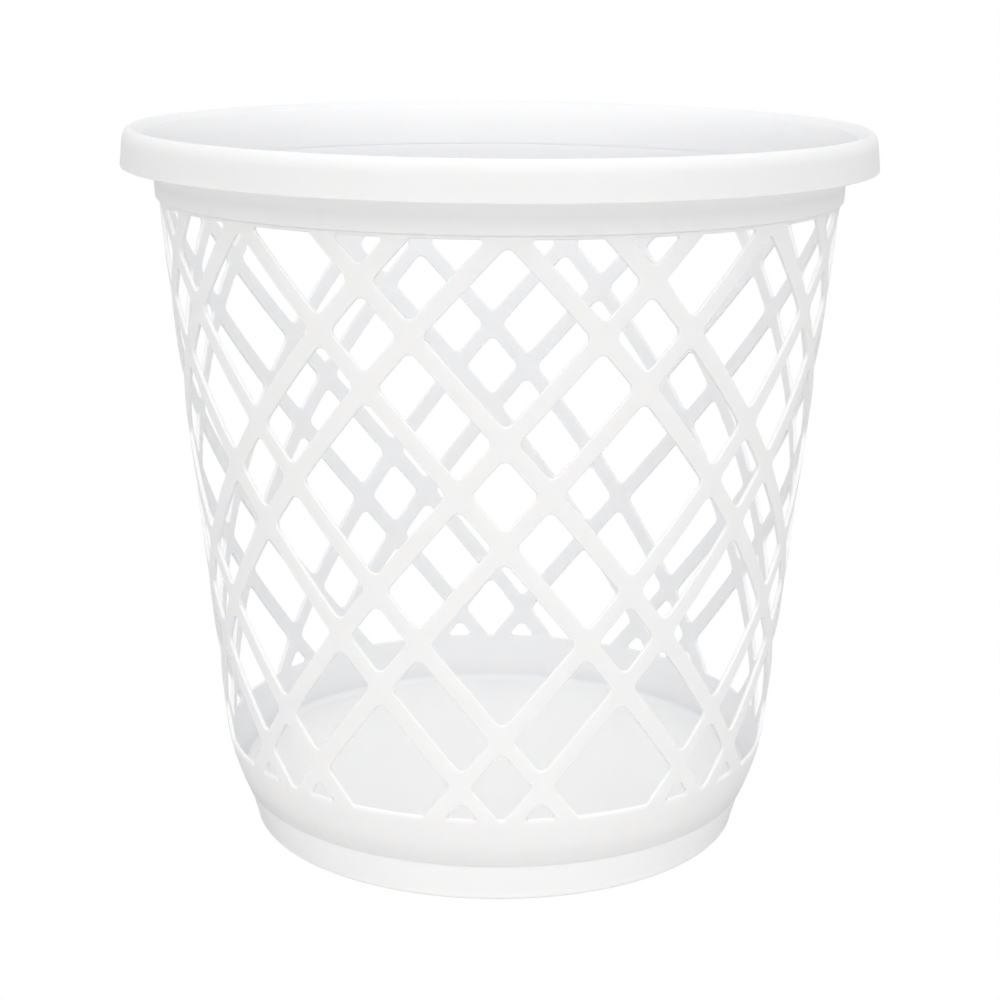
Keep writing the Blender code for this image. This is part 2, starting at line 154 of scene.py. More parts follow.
# ------------------------------------------------------------------ lines and corners
def corner_circle(before, point, after, radius, reach):
    """Circle that rounds a corner: centre, spokes to its two ends, half the corner's angle.

    It takes up no more than `reach` of either side.
    """
    to_before, to_after = before - point, after - point
    length_before, length_after = to_before.length, to_after.length
    to_before.normalize()
    to_after.normalize()
    half = math.acos(max(-1.0, min(1.0, to_before.dot(to_after)))) / 2.0
    cut = min(radius / math.tan(half), reach * length_before, reach * length_after)
    radius = cut * math.tan(half)
    centre = point + (to_before + to_after).normalized() * (radius / math.sin(half))
    return centre, point + to_before * cut - centre, point + to_after * cut - centre, half


def arc(centre, spoke, sweep, steps):
    points = []
    for k in range(steps + 1):
        angle = sweep * k / steps
        cos, sin = math.cos(angle), math.sin(angle)
        points.append(centre + Vector((spoke.x * cos - spoke.y * sin,
                                       spoke.x * sin + spoke.y * cos)))
    return points


def fillet(corners, steps=6):
    """Corners (radius, z, rounding) to a (radius, z) line with every inner corner rounded."""
    line = []
    last = len(corners) - 1
    for k, (radius, z, rounding) in enumerate(corners):
        if k in (0, last) or rounding <= 0.0:
            line.append((radius, z))
            continue
        before, point, after = (Vector(corner[:2]) for corner in corners[k - 1:k + 2])
        centre, first, end, half = corner_circle(before, point, after, rounding, reach=0.48)
        if half > math.pi / 2 - 0.01:       # all but straight
            line.append((radius, z))
            continue
        line += [(p.x, p.y) for p in arc(centre, first, -first.angle_signed(end), steps)]
    return line


def densify(line, longest):
    dense = [line[0]]
    for start, end in zip(line, line[1:]):
        count = max(1, math.ceil(math.dist(start, end) / longest))
        dense += [(start[0] + (end[0] - start[0]) * k / count,
                   start[1] + (end[1] - start[1]) * k / count) for k in range(1, count + 1)]
    return dense


def profile_normals(line):
    """Outward (radial, up) normals of a line that keeps its material on its left."""
    normals = []
    last = len(line) - 1
    for k, here in enumerate(line):
        along = Vector((0.0, 0.0))
        for start, end in ((line[max(k - 1, 0)], here), (here, line[min(k + 1, last)])):
            step = Vector((end[0] - start[0], end[1] - start[1]))
            if step.length > 1e-9:
                along += step.normalized()
        if along.length < 1e-9:
            along = Vector((1.0, 0.0))
        along.normalize()
        normals.append((along.y, -along.x))
    return normals


def turn(name, line):
    """Turn a (radius, z) line about Z.  It ends in poles where radius is 0, or else closes."""
    shell = Shell()
    rings = []
    for (radius, z), (out, up) in zip(line, profile_normals(line)):
        if radius < 1e-7:
            rings.append([shell.add_pole(z, up)])
        else:
            rings.append(shell.add_ring(radius, z, out, up))
    pairs = list(zip(rings, rings[1:]))
    if len(rings[0]) > 1 and len(rings[-1]) > 1:
        pairs.append((rings[-1], rings[0]))
    for low, high in pairs:
        shell.join_rings(low, high)
    return shell.build(name)


# ------------------------------------------------------------------ wall surface
def outer_radius(z):
    """The lattice cone, and below it the band that curves in ever more."""
    cone = LAT_R0 + (LAT_R1 - LAT_R0) * (z - LAT_Z0) / (LAT_Z1 - LAT_Z0)
    below = LAT_Z0 - z
    below = 0.5 * (below + math.sqrt(below * below + BAND_BLEND ** 2))
    return cone - (BAND_SLOPE - LAT_SLOPE) * below - BAND_CURVE * below * below


def inner_radius(z):
    return outer_radius(z) - WALL_T


def outer_slope(z):
    return (outer_radius(z + 1e-5) - outer_radius(z - 1e-5)) / 2e-5


# ------------------------------------------------------------------ base
def base_shell():
    """Floor and foot ring in one; the floor's edge runs up the wall in a soft fillet."""
    shoulder_z = BAND_Z0 - 0.00002
    edge_z = FLOOR_Z + 0.0052
    # (radius, z, rounding), from the axis out under the floor and back over it
    line = [(0.0, FLOOR_Z - FLOOR_T, 0.0),
            (FOOT_TOP_R - 0.0032, FLOOR_Z - FLOOR_T, 0.0010),
            (FOOT_BOTTOM_R - 0.0016, 0.0, 0.0003),
            (FOOT_BOTTOM_R, 0.0, 0.0007),
            (FOOT_BOTTOM_R + 0.0008, 0.0009, 0.0016),
            (FOOT_LOW_R, FOOT_LOW_Z, 0.0070),
            (FOOT_TOP_R, shoulder_z, 0.00012),
            # floor's edge, set into the wall
            (inner_radius(BAND_Z0) + 0.0006, shoulder_z, 0.0),
            (inner_radius(edge_z) + 0.0006, edge_z, 0.0),
            (inner_radius(edge_z) + 0.00006, edge_z, 0.0),
            (inner_radius(FLOOR_Z) + 0.00006, FLOOR_Z, 0.0046),
            # shallow dimple with a raised middle
            (0.0060, FLOOR_Z, 0.002),
            (0.0050, FLOOR_Z - 0.0003, 0.0004),
            (0.0016, FLOOR_Z - 0.0003, 0.0003),
            (0.0013, FLOOR_Z + 0.0001, 0.0002),
            (0.0, FLOOR_Z + 0.0001, 0.0)]
    return turn("base_shell", densify(fillet(line, 8), 0.006))


# ------------------------------------------------------------------ liner ring
def lip_inner(share):
    """Inner radius of the lip at a share of its height."""
    flare = (1.0 - LIP_FLARE) * share + LIP_FLARE * share ** 3
    return LIP_R + (LIP_TOP_R - LIP_R) * flare


def crown_under(radius):
    return TOP_Z - RING_T - (TOP_Z - LIP_TOP_Z) * (RIDGE_R - radius) / (RIDGE_R - LIP_TOP_R)


def ring_shell():
    # (radius, z, rounding), up the skirt, over the crown, down the lip and back underneath
    line = [(RIM_R - RING_T, SKIRT_Z, 0.0004),
            (RIM_R, SKIRT_Z, 0.00035),
            (SKIRT_TOP_R, SKIRT_TOP_Z, 0.0)]
    for k in range(1, SHOULDER_STEPS + 1):
        angle = math.pi / 2 * k / SHOULDER_STEPS
        out = max(math.cos(angle), 0.0) ** SHOULDER_POWER
        rise = math.sin(angle) ** SHOULDER_POWER
        line.append((RIDGE_R + (SKIRT_TOP_R - RIDGE_R) * out,
                     SKIRT_TOP_Z + (TOP_Z - SKIRT_TOP_Z) * rise, 0.0))
    # the crown falls towards the mouth and ends in a soft edge above the lip
    line += [(RIDGE_R - 0.0007, TOP_Z, 0.0035), (LIP_TOP_R + 0.0003, LIP_TOP_Z, 0.0009)]
    for k in range(LIP_STEPS - 1, -1, -1):
        share = k / LIP_STEPS
        line.append((lip_inner(share), LIP_Z + LIP_SPAN * share, 0.00012 if k == 0 else 0.0))
    line.append((LIP_R + LIP_T, LIP_Z, 0.0002))
    for k in range(1, LIP_STEPS - 1):       # the lip thickens as it rises
        share = k / LIP_STEPS
        line.append((lip_inner(share) + LIP_T + 0.0010 * share,
                     LIP_Z + LIP_SPAN * share - 0.0004 * share, 0.0))
    root_r = LIP_TOP_R + 0.0018
    line += [(root_r, crown_under(root_r), 0.0008),
             (RIDGE_R - 0.0004, TOP_Z - RING_T, 0.0010),
             (RIDGE_R + 0.0004, TOP_Z - RING_T - 0.0006, 0.0008),
             (SKIRT_TOP_R - RING_T, SKIRT_TOP_Z - 0.0004, 0.0)]
    # the line closes, so its first corner is rounded on its own
    start = fillet([line[-1], line[0], line[1]])[1:-1]
    return turn("ring_shell", densify(start + fillet(line + [line[0]])[1:-1], 0.0045))


# ------------------------------------------------------------------ lattice layout
# A place on the wall is also given by (left, right): `left` is constant along a rib that
# leans left as it rises, seen from outside, and `right` along one that leans right.
# left = turn + angle, right = turn - angle, so that their sum is twice the turn.

def rib_line(i):
    return SECTOR * (i // 2) + (PAIR_GAP if i % 2 else 0.0)


def turn_at(z):
    return (TWIST * (z - MID_Z) + TWIST_GAIN * (z - MID_Z) ** 2
            - TOE_GAIN * max(0.0, TOE_Z - z) ** 2)


SUM_LOW, SUM_HIGH = 2.0 * turn_at(MESH_Z0), 2.0 * turn_at(MESH_Z1)


def to_angle_z(left, right):
    """Solve the quadratic of turn_at for the height."""
    total = (left + right) / 2.0
    if total >= turn_at(TOE_Z):
        square, linear, constant = TWIST_GAIN, TWIST, -total
    else:
        toe = TOE_Z - MID_Z
        square, linear = TWIST_GAIN - TOE_GAIN, TWIST + 2.0 * TOE_GAIN * toe
        constant = -total - TOE_GAIN * toe ** 2
    root = math.sqrt(linear ** 2 - 4.0 * square * constant)
    return (left - right) / 2.0, MID_Z + (root - linear) / (2.0 * square)


def clip_to_lattice(poly):
    """Cut a (left, right) polygon off at the lattice mesh's bottom and top."""
    for limit, sign in ((SUM_LOW, 1.0), (SUM_HIGH, -1.0)):
        kept = []
        for k, start in enumerate(poly):
            end = poly[(k + 1) % len(poly)]
            at_start = sign * (start[0] + start[1] - limit)
            at_end = sign * (end[0] + end[1] - limit)
            if at_start >= -1e-12:
                kept.append(start)
            if (at_start > 1e-12 and at_end < -1e-12) or (at_start < -1e-12 and at_end > 1e-12):
                share = at_start / (at_start - at_end)
                kept.append((start[0] + (end[0] - start[0]) * share,
                             start[1] + (end[1] - start[1]) * share))
        poly = kept
        if len(poly) < 3:
            return []
    return poly


# ------------------------------------------------------------------ windows
SILL, HEAD = 4, 5       # places in a window's list of sides, after its four ribs


def half_planes(corners, sides):
    """Cut a polygon by sides (x, y, limit), keeping x * px + y * py >= limit.

    Gives (point, side) pairs, where the side is the one the edge after the point lies on.
    """
    poly = [(Vector(corner), None) for corner in corners]
    for index, (side_x, side_y, limit) in enumerate(sides):
        kept = []
        for k, (start, tag) in enumerate(poly):
            end = poly[(k + 1) % len(poly)][0]
            at_start = side_x * start.x + side_y * start.y - limit
            at_end = side_x * end.x + side_y * end.y - limit
            if at_start >= 0:
                kept.append((start, tag))
                if at_end < 0:
                    kept.append((start + (end - start) * (at_start / (at_start - at_end)), index))
            elif at_end >= 0:
                kept.append((start + (end - start) * (at_start / (at_start - at_end)), tag))
        poly = kept
        if len(poly) < 3:
            return []
    return poly


def least_width(points):
    best = 1e9
    for k, point in enumerate(points):
        edge = points[(k + 1) % len(points)] - point
        if edge.length < 1e-9:
            continue
        edge.normalize()
        best = min(best, max(abs((other - point).cross(edge)) for other in points))
    return best


def inside(x, y, poly):
    hit = False
    for k, start in enumerate(poly):
        end = poly[(k + 1) % len(poly)]
        if (start[1] > y) != (end[1] > y):
            if x < start[0] + (y - start[1]) * (end[0] - start[0]) / (end[1] - start[1]):
                hit = not hit
    return hit


def edge_profile():
    """Steps across the wall round a window's rounded edges, from the outer face to the inner.

    Offsets are (at ribs, at sill) into the material.  Depths are, for a rib and for the sill,
    (depth, normal's outward weight, normal's weight towards the window).
    """
    offsets, depths = [], []
    for k in range(EDGE_STEPS + 1):
        angle = math.pi / 2 * (1.0 - k / EDGE_STEPS)
        cos, sin = math.cos(angle), math.sin(angle)
        offsets.append((EDGE * (1 - cos), SILL_EDGE_DOWN * (1 - cos)))
        norm = math.hypot(SILL_EDGE_DOWN * sin, SILL_EDGE_IN * cos)
        depths.append(((EDGE * (1 - sin), sin, cos),
                       (SILL_EDGE_IN * (1 - sin), SILL_EDGE_DOWN * sin / norm,
                        SILL_EDGE_IN * cos / norm)))
    for k in range(EDGE_STEPS + 1):
        angle = math.pi / 2 * k / EDGE_STEPS
        cos, sin = math.cos(angle), math.sin(angle)
        offsets.append((EDGE * (1 - cos), EDGE * (1 - cos)))
        depths.append(((WALL_T - EDGE * (1 - sin), -sin, cos),) * 2)
    return offsets, depths


EDGE_OFFSETS, EDGE_DEPTHS = edge_profile()


def window_sides(quad, rib_width, rib_offset, sill_offset):
    """Sides for half_planes: the four ribs, the sill and the head."""
    middle = (quad[0] + quad[2]) / 2
    sides = []
    for k, start in enumerate(quad):
        edge = (quad[(k + 1) % 4] - start).normalized()
        inward = Vector((-edge.y, edge.x))
        if inward.dot(middle - start) < 0:
            inward = -inward
        sides.append((inward.x, inward.y, inward.dot(start) + (rib_width / 2.0 - rib_offset)))
    sides.append((0.0, 1.0, (LAT_Z0 - sill_offset) * SLANT))
    sides.append((0.0, -1.0, -(LAT_Z1 + rib_offset) * SLANT))
    return sides


def merge_close(poly):
    """Split (point, side) pairs into two lists without repeated points."""
    points, tags = [], []
    for point, tag in poly:
        if points and (point - points[-1]).length < 1e-7:
            tags[-1] = tag
            continue
        points.append(point)
        tags.append(tag)
    if (points[0] - points[-1]).length < 1e-7:
        points.pop()
        tags.pop()
    return points, tags


def round_corners(points, tags, offset):
    """One arc for each corner of an anticlockwise polygon."""
    arcs = []
    for k, point in enumerate(points):
        on_end = tags[k] in (SILL, HEAD) or tags[k - 1] in (SILL, HEAD)
        radius = (SILL_ROUND if on_end else WINDOW_ROUND) + offset
        after = points[(k + 1) % len(points)]
        centre, first, _, half = corner_circle(points[k - 1], point, after, radius, reach=0.45)
        arcs.append(arc(centre, first, math.pi - 2.0 * half, CORNER_STEPS))
    return arcs


def link_arcs(arc_sets):
    """Join each set of arcs into a loop, its straight sides divided as in the first set."""
    loops = [[] for _ in arc_sets]
    first = arc_sets[0]
    count = len(first)
    for k in range(count):
        after = (k + 1) % count
        cuts = max(1, math.ceil((after_start(first, after) - first[k][-1]).length / SIDE_STEP))
        for loop, arcs in zip(loops, arc_sets):
            loop += arcs[k]
            start, end = arcs[k][-1], after_start(arcs, after)
            loop += [start + (end - start) * (m / cuts) for m in range(1, cuts)]
    return loops


def after_start(arcs, index):
    return arcs[index][0]


def sill_shares(loop, has_sill):
    """How far each point of a loop belongs to the sill, 0 to 1."""
    shares = []
    for k, point in enumerate(loop):
        tangent = loop[(k + 1) % len(loop)] - loop[k - 1]
        level = tangent.x / tangent.length if tangent.length > 1e-9 else 0.0
        share = 0.0
        if has_sill and point.y / SLANT < LAT_Z0 + SILL_TOP:
            share = max(0.0, min(1.0, (level - 0.80) / 0.19))
        shares.append(share * share * (3.0 - 2.0 * share))
    return shares


def window_loops(left0, left1, right0, right1, chart_radius):
    """A cell's window as one loop for each edge step, and the sill shares of its points.

    Loops lie in the flat chart x = angle * chart_radius, y = z * SLANT.  Gives None, None for
    a cell too narrow to be open.
    """
    cell_corners = ((left0, right0), (left1, right0), (left1, right1), (left0, right1))
    quad = [Vector((angle * chart_radius, z * SLANT))
            for angle, z in (to_angle_z(*corner) for corner in cell_corners)]
    middle = (quad[0] + quad[2]) / 2
    box = [middle + Vector((x * WINDOW_BOX, y * WINDOW_BOX))
           for x, y in ((-1, -1), (1, -1), (1, 1), (-1, 1))]
    small = (max(left1 - left0, right1 - right0) < WIDE_CELL
             and min(corner.y for corner in quad) < LAT_Z0 * SLANT)
    rib_width = RIB_W_SILL if small else RIB_W
    bare = half_planes(box, window_sides(quad, rib_width, 0.0, 0.0))
    if not bare or least_width([point for point, _ in bare]) < 2.0 * MIN_WINDOW:
        return None, None
    arc_sets = []
    first_tags = None
    for rib_offset, sill_offset in EDGE_OFFSETS:
        sides = window_sides(quad, rib_width, rib_offset, sill_offset)
        poly = half_planes(box, sides)
        if not poly:
            return None, None
        points, tags = merge_close(poly)
        if len(points) < 3:
            return None, None
        if first_tags is None:
            first_tags = tags
        if set(tags) != set(first_tags):
            # this offset lost or gained a side: keep only the sides of the first loop
            order = [i for i in range(len(sides)) if i in first_tags]
            poly = half_planes(box, [sides[i] for i in order])
            points = [point for point, _ in poly]
            tags = [order[tag] if tag is not None else None for _, tag in poly]
            if len(points) != len(first_tags):
                return None, None
        start = tags.index(first_tags[0])
        points = points[start:] + points[:start]
        tags = tags[start:] + tags[:start]
        arc_sets.append(round_corners(points, tags, rib_offset))
    loops = link_arcs(arc_sets)
    return loops, sill_shares(loops[len(EDGE_OFFSETS) // 2], SILL in first_tags)


# ------------------------------------------------------------------ wall moulding
def cell_outline(left0, left1, right0, right1):
    """A cell's outline as (left, right) points, clipped to the lattice mesh."""
    def divide(start, end):
        count = 12 if (end - start) > WIDE_CELL else 6
        return [start + (end - start) * k / count for k in range(count)]
    lefts, rights = divide(left0, left1), divide(right0, right1)
    outline = [(left, right0) for left in lefts] + [(left1, right) for right in rights]
    outline += [(left1 + left0 - left, right1) for left in lefts]
    outline += [(left0, right1 + right0 - right) for right in rights]
    return clip_to_lattice(outline)


def border_points(outline):
    """Extra (angle, z) points where an outline runs along the mesh's bottom or top."""
    step = TAU / SEGMENTS
    extra = []
    for limit in (MESH_Z0, MESH_Z1):
        angles = sorted(angle for angle, z in outline if z == limit)
        if len(angles) < 2:
            continue
        k = math.ceil(angles[0] / step)
        while k * step < angles[-1]:
            if all(abs(k * step - angle) > step * 0.4 for angle in angles):
                extra.append((k * step, limit))
            k += 1
    return extra


class Wall(Shell):
    """Lattice cells, and the plain strips above and below that join outer and inner face.

    Face 0 is the outer one, face 1 the inner.
    """

    def __init__(self):
        super().__init__()
        self.shared = {}        # vertices that neighbouring cells share
        self.borders = {}       # (z, face) to {angle in microradians: vertex}

    def skin_vertex(self, angle, z, face):
        key = (round((angle % TAU) * 1e6) % round(TAU * 1e6), round(z * 1e7), face)
        if key not in self.shared:
            radius = inner_radius(z) if face else outer_radius(z)
            out = -1.0 if face else 1.0
            self.shared[key] = self.add(angle, radius, z, out, -out * outer_slope(z))
        vertex = self.shared[key]
        if z in (MESH_Z0, MESH_Z1):
            self.borders.setdefault((z, face), {})[key[0]] = vertex
        return vertex

    def window_rows(self, loops, shares, chart_radius):
        """Vertices and faces round the edge of a window, from the outer face to the inner."""
        rows = []
        for (at_rib, at_sill), loop in zip(EDGE_DEPTHS, loops):
            row = []
            for k, point in enumerate(loop):
                depth, outward, sideways = (rib + (sill - rib) * shares[k]
                                            for rib, sill in zip(at_rib, at_sill))
                angle, z = point.x / chart_radius, point.y / SLANT
                tangent = loop[(k + 1) % len(loop)] - loop[k - 1]
                if tangent.length < 1e-9:
                    tangent = Vector((1.0, 0.0))
                tangent.normalize()
                # towards the window, as the loop runs anticlockwise
                into = Vector((-tangent.y, tangent.x))
                slope = outer_slope(z)
                norm = math.hypot(1.0, slope)
                out = outward / norm + sideways * into.y * slope / norm
                up = -outward * slope / norm + sideways * into.y / norm
                row.append(self.add(angle, outer_radius(z) - depth, z, out, up,
                                    sideways * into.x))
            rows.append(row)
        for low, high in zip(rows, rows[1:]):
            self.join_rings(low, high)
        return rows

    def add_cell(self, i, j):
        """The cell between two left ribs and two right ribs, both faces, less its window."""
        ribs = rib_line(i), rib_line(i + 1), rib_line(j), rib_line(j + 1)
        outline = cell_outline(*ribs)
        if not outline:
            return
        lefts, rights = zip(*outline)
        total = (min(lefts) + max(lefts) + min(rights) + max(rights)) / 2.0
        middle_z = min(max(to_angle_z(total / 2.0, total / 2.0)[1], LAT_Z0), LAT_Z1)
        chart_radius = (LAT_R0 + (LAT_R1 - LAT_R0) * (middle_z - LAT_Z0) / (LAT_Z1 - LAT_Z0))
        border = []
        for left, right in outline:
            angle, z = to_angle_z(left, right)
            for limit in (MESH_Z0, MESH_Z1):
                if abs(z - limit) < 1e-8:
                    z = limit
            border.append((angle, z))
        loops, shares = window_loops(*ribs, chart_radius)
        window = [(p.x / chart_radius, p.y / SLANT) for p in loops[0]] if loops else []

        # triangles between outline and window
        sources = border + window + border_points(border)
        count, hole = len(border), len(window)
        edges = [(k, (k + 1) % count) for k in range(count)]
        edges += [(count + k, count + (k + 1) % hole) for k in range(hole)]
        flat = [Vector((angle * chart_radius, z)) for angle, z in sources]
        points, _, faces, origins, _, _ = delaunay_2d_cdt(flat, edges, [], 1, 1e-8, True)
        places, loop_index = [], {}
        for k, (point, origin) in enumerate(zip(points, origins)):
            places.append(sources[origin[0]] if origin else (point.x / chart_radius, point.y))
            for source in origin:
                if count <= source < count + hole:
                    loop_index[k] = source - count
        rows = self.window_rows(loops, shares, chart_radius) if loops else []

        def corner(k, face):
            if k in loop_index:
                return rows[-face][loop_index[k]]
            return self.skin_vertex(*places[k], face)

        for face in faces:
            centre_x = sum(points[k].x for k in face) / len(face) / chart_radius
            centre_y = sum(points[k].y for k in face) / len(face)
            if (loops and inside(centre_x, centre_y, window)) or not inside(
                    centre_x, centre_y, border):
                continue
            around = list(face)
            first, second, third = (places[k] for k in around)
            area = ((second[0] - first[0]) * (third[1] - first[1])
                    - (third[0] - first[0]) * (second[1] - first[1]))
            if abs(area) < 1e-12:
                continue
            if area < 0:
                around.reverse()
            outer = [corner(k, 0) for k in around]
            inner = [corner(k, 1) for k in around]
            self.faces.append(tuple(outer))
            self.faces.append(tuple(reversed(inner)))

    def border_ring(self, z, face):
        return [(key / 1e6, vertex) for key, vertex in sorted(self.borders[(z, face)].items())]

    def zipper(self, low, high):
        """Triangles between two rings of (angle, vertex) with different counts."""
        i = j = 0
        while i < len(low) or j < len(high):
            at_low, at_high = low[i % len(low)][1], high[j % len(high)][1]
            next_low, next_high = low[(i + 1) % len(low)], high[(j + 1) % len(high)]
            low_angle = next_low[0] + (TAU if i + 1 >= len(low) else 0.0)
            high_angle = next_high[0] + (TAU if j + 1 >= len(high) else 0.0)
            if j >= len(high) or (i < len(low) and low_angle <= high_angle):
                third = next_low[1]
                i += 1
            else:
                third = next_high[1]
                j += 1
            if len({at_low, at_high, third}) == 3:
                self.faces.append((at_low, third, at_high))

    def add_strip(self, first, line, last):
        """Turn a (radius, z) line and join its ends to two border rings."""
        rings = [self.add_ring(radius, z, out, up)
                 for (radius, z), (out, up) in zip(line, profile_normals(line))]

        def with_angles(ring):
            return [(TAU * k / SEGMENTS, vertex) for k, vertex in enumerate(ring)]
        self.zipper(first, with_angles(rings[0]))
        for low, high in zip(rings, rings[1:]):
            self.join_rings(low, high)
        self.zipper(with_angles(rings[-1]), last)


def clear_of_lip(z):
    """Radius just outside the ring's lip."""
    share = max(0.0, min(1.0, (z + 0.0004 - LIP_Z) / LIP_SPAN))
    return lip_inner(share) + LIP_T + 0.0012 * share + GAP + 0.0001


def top_line():
    """Collar, flange and the bead under the ring's crown, from the outer face to the inner."""
    start_z = MESH_Z1 + 0.00012
    flange_top = FLANGE_Z + 0.0002 + FLANGE_T
    bead_in, bead_out = LIP_TOP_R + 0.0023, LIP_TOP_R + 0.0040
    # (radius, z, rounding)
    line = [(outer_radius(start_z), start_z, 0.0),
            (outer_radius(MESH_Z1) + 0.0001, MESH_Z1 + 0.0004, 0.0003),
            (LAT_R1 + COLLAR_STEP, MESH_Z1 + 0.0008, 0.0005),
            (COLLAR_R, SKIRT_Z - 0.0004, 0.0006),
            (COLLAR_R + 0.0006, FLANGE_Z, 0.0006),
            (FLANGE_R, FLANGE_Z + 0.0002, 0.0003),
            (FLANGE_R, flange_top, 0.0003),
            (COLLAR_R + 0.0018, FLANGE_Z + 0.0004 + FLANGE_T, 0.0006),
            (COLLAR_R + 0.0028, 0.2605, 0.002),
            (COLLAR_R + 0.0054, 0.2633, 0.001),
            (bead_out, 0.2642, 0.0004),
            (bead_out, crown_under(bead_out) - GAP, 0.0004),
            (bead_in, crown_under(bead_in) - GAP, 0.0004),
            (clear_of_lip(0.2640) + 0.0003, 0.2640, 0.001),
            (clear_of_lip(0.2600) + 0.0002, 0.2600, 0.002),
            (clear_of_lip(LIP_Z) + 0.0001, SEAT_Z + 0.0001, 0.0004),
            (SEAT_R, SEAT_Z + 0.00005, 0.00012),
            (inner_radius(MESH_Z1) + 0.0001, MESH_Z1 + 0.0016, 0.0030),
            (inner_radius(start_z), start_z, 0.0)]
    return densify(fillet(line, 5), 0.004)


def band_line():
    """Down the band's inner face, round its bottom edge and up its outer face."""
    levels = [MESH_Z0 - 0.0004 - 0.0016 * k for k in range(13)]
    levels = [z for z in levels if z > BAND_Z0 + 0.0008]
    line = [(inner_radius(z), z, 0.0) for z in levels]
    line += [(inner_radius(BAND_Z0), BAND_Z0, 0.0002), (outer_radius(BAND_Z0), BAND_Z0, 0.00018)]
    line += [(outer_radius(z), z, 0.0) for z in reversed(levels)]
    return fillet(line, 5)


def wall_shell():
    wall = Wall()
    for i in range(2 * RIB_PAIRS):
        for j in range(-40, 40):        # more than enough to cross every height
            low = rib_line(i) + rib_line(j)
            high = rib_line(i + 1) + rib_line(j + 1)
            if high > SUM_LOW + 1e-9 and low < SUM_HIGH - 1e-9:
                wall.add_cell(i, j)
    wall.add_strip(wall.border_ring(MESH_Z1, 0), top_line(), wall.border_ring(MESH_Z1, 1))
    wall.add_strip(wall.border_ring(MESH_Z0, 1), band_line(), wall.border_ring(MESH_Z0, 0))
    return wall.build("wall_shell")


# ------------------------------------------------------------------ shader nodes
def empty_tree(owner):
    owner.use_nodes = True
    owner.node_tree.nodes.clear()
    return owner.node_tree


def add_node(tree, kind, inputs=None, **settings):
    """New shader node; an input given as a socket is linked, any other is a value."""
    node = tree.nodes.new("ShaderNode" + kind)
    for name, value in settings.items():
        setattr(node, name, value)
    for key, value in (inputs or {}).items():
        if isinstance(value, bpy.types.NodeSocket):
            tree.links.new(value, node.inputs[key])
        else:
            node.inputs[key].default_value = value
    return node


def add_math(tree, operation, *values):
    return add_node(tree, "Math", dict(enumerate(values)), operation=operation).outputs[0]


def add_range(tree, value, from_min, from_max, to_min=0.0, to_max=1.0, curve="LINEAR"):
    return add_node(tree, "MapRange", {
        "Value": value, "From Min": from_min, "From Max": from_max,
        "To Min": to_min, "To Max": to_max}, interpolation_type=curve).outputs[0]


def add_noise(tree, vector, scale, detail, roughness, distortion=0.0):
    return add_node(tree, "TexNoise", {
        "Vector": vector, "Scale": scale, "Detail": detail,
        "Roughness": roughness, "Distortion": distortion}).outputs["Fac"]


def add_colour_mix(tree, factor, first, second, blend="MIX"):
    return add_node(tree, "Mix", {"Factor": factor, "A": first, "B": second},
                    data_type="RGBA", blend_type=blend).outputs["Result"]


# ------------------------------------------------------------------ plastic
def inner_shade_mask(tree, axes):
    """1 on faces that look at the basket's axis, 0 on faces that look away: the mask of a painted
    cool shade on the inside.
    """
    flat = add_node(tree, "CombineXYZ", {"X": axes["X"], "Y": axes["Y"]})
    radial = add_node(tree, "VectorMath", {0: flat.outputs[0]}, operation="NORMALIZE")
    geometry = add_node(tree, "NewGeometry")
    facing = add_node(tree, "VectorMath", {
        0: radial.outputs[0], 1: geometry.outputs["True Normal"]}, operation="DOT_PRODUCT")
    return add_range(tree, facing.outputs["Value"], from_min=0.25, from_max=-0.25)


def painted_glow_under_ring(tree, height, z0, z1, strength):
    """Painted light: emission that grows from z0 to z1 and lifts the shade under the ring's skirt
    and lip; the part above, hidden in the ring, is left dimmer.
    """
    grown = add_range(tree, height, z0, z1, to_max=strength)
    hidden = add_range(tree, height, z1 + 0.0001, z1 + 0.0003, to_min=1.0, to_max=0.35)
    return add_math(tree, "MULTIPLY", grown, hidden)


def rubbed_marks(tree, place, seed):
    """Handling marks: sparse, faint, in long soft streaks."""
    streaks = add_node(tree, "Mapping", {
        "Vector": place, "Scale": (1.0, 1.0, 0.14), "Rotation": (0.5, 0.3, seed)})
    noise = add_noise(tree, streaks.outputs[0], scale=140.0, detail=5.0, roughness=0.62,
                      distortion=0.2)
    return add_range(tree, noise, from_min=0.60, from_max=0.78)


def plastic_colour(tree, place, inward, tint, seed):
    """Slow warm variation of uneven wall thickness, with a painted cool shade on the faces
    towards the hollow.
    """
    warm = tuple(c * share for c, share in zip(tint, (1.0, 0.994, 0.985)))
    cool_shade = tuple(c * share for c, share in zip(tint, (0.988, 0.992, 1.0)))
    shifted = add_node(tree, "Mapping", {
        "Vector": place, "Location": (seed * 1.7, seed * 0.6, seed * 2.3),
        "Scale": (1.0, 1.0, 0.45)})
    flow = add_noise(tree, shifted.outputs[0], scale=9.0, detail=3.0, roughness=0.45,
                     distortion=0.6)
    base = add_colour_mix(tree, flow, (*warm, 1.0), (*tint, 1.0))
    # painted shade: faces towards the hollow take a cooler tint
    return add_colour_mix(tree, inward, base, (*cool_shade, 1.0))


def mould_relief(tree, place, grain):
    """Fine mould grain over a slight orange peel."""
    fine_noise = add_noise(tree, place, scale=1500.0, detail=2.0, roughness=0.6)
    peel_noise = add_noise(tree, place, scale=210.0, detail=2.0, roughness=0.5)
    fine = add_node(tree, "Bump", {
        "Strength": 0.10 * grain, "Distance": 0.00012, "Height": fine_noise})
    peel = add_node(tree, "Bump", {
        "Strength": 0.12 * grain, "Distance": 0.00030, "Height": peel_noise})
    tree.links.new(peel.outputs[0], fine.inputs["Normal"])
    return fine.outputs[0]


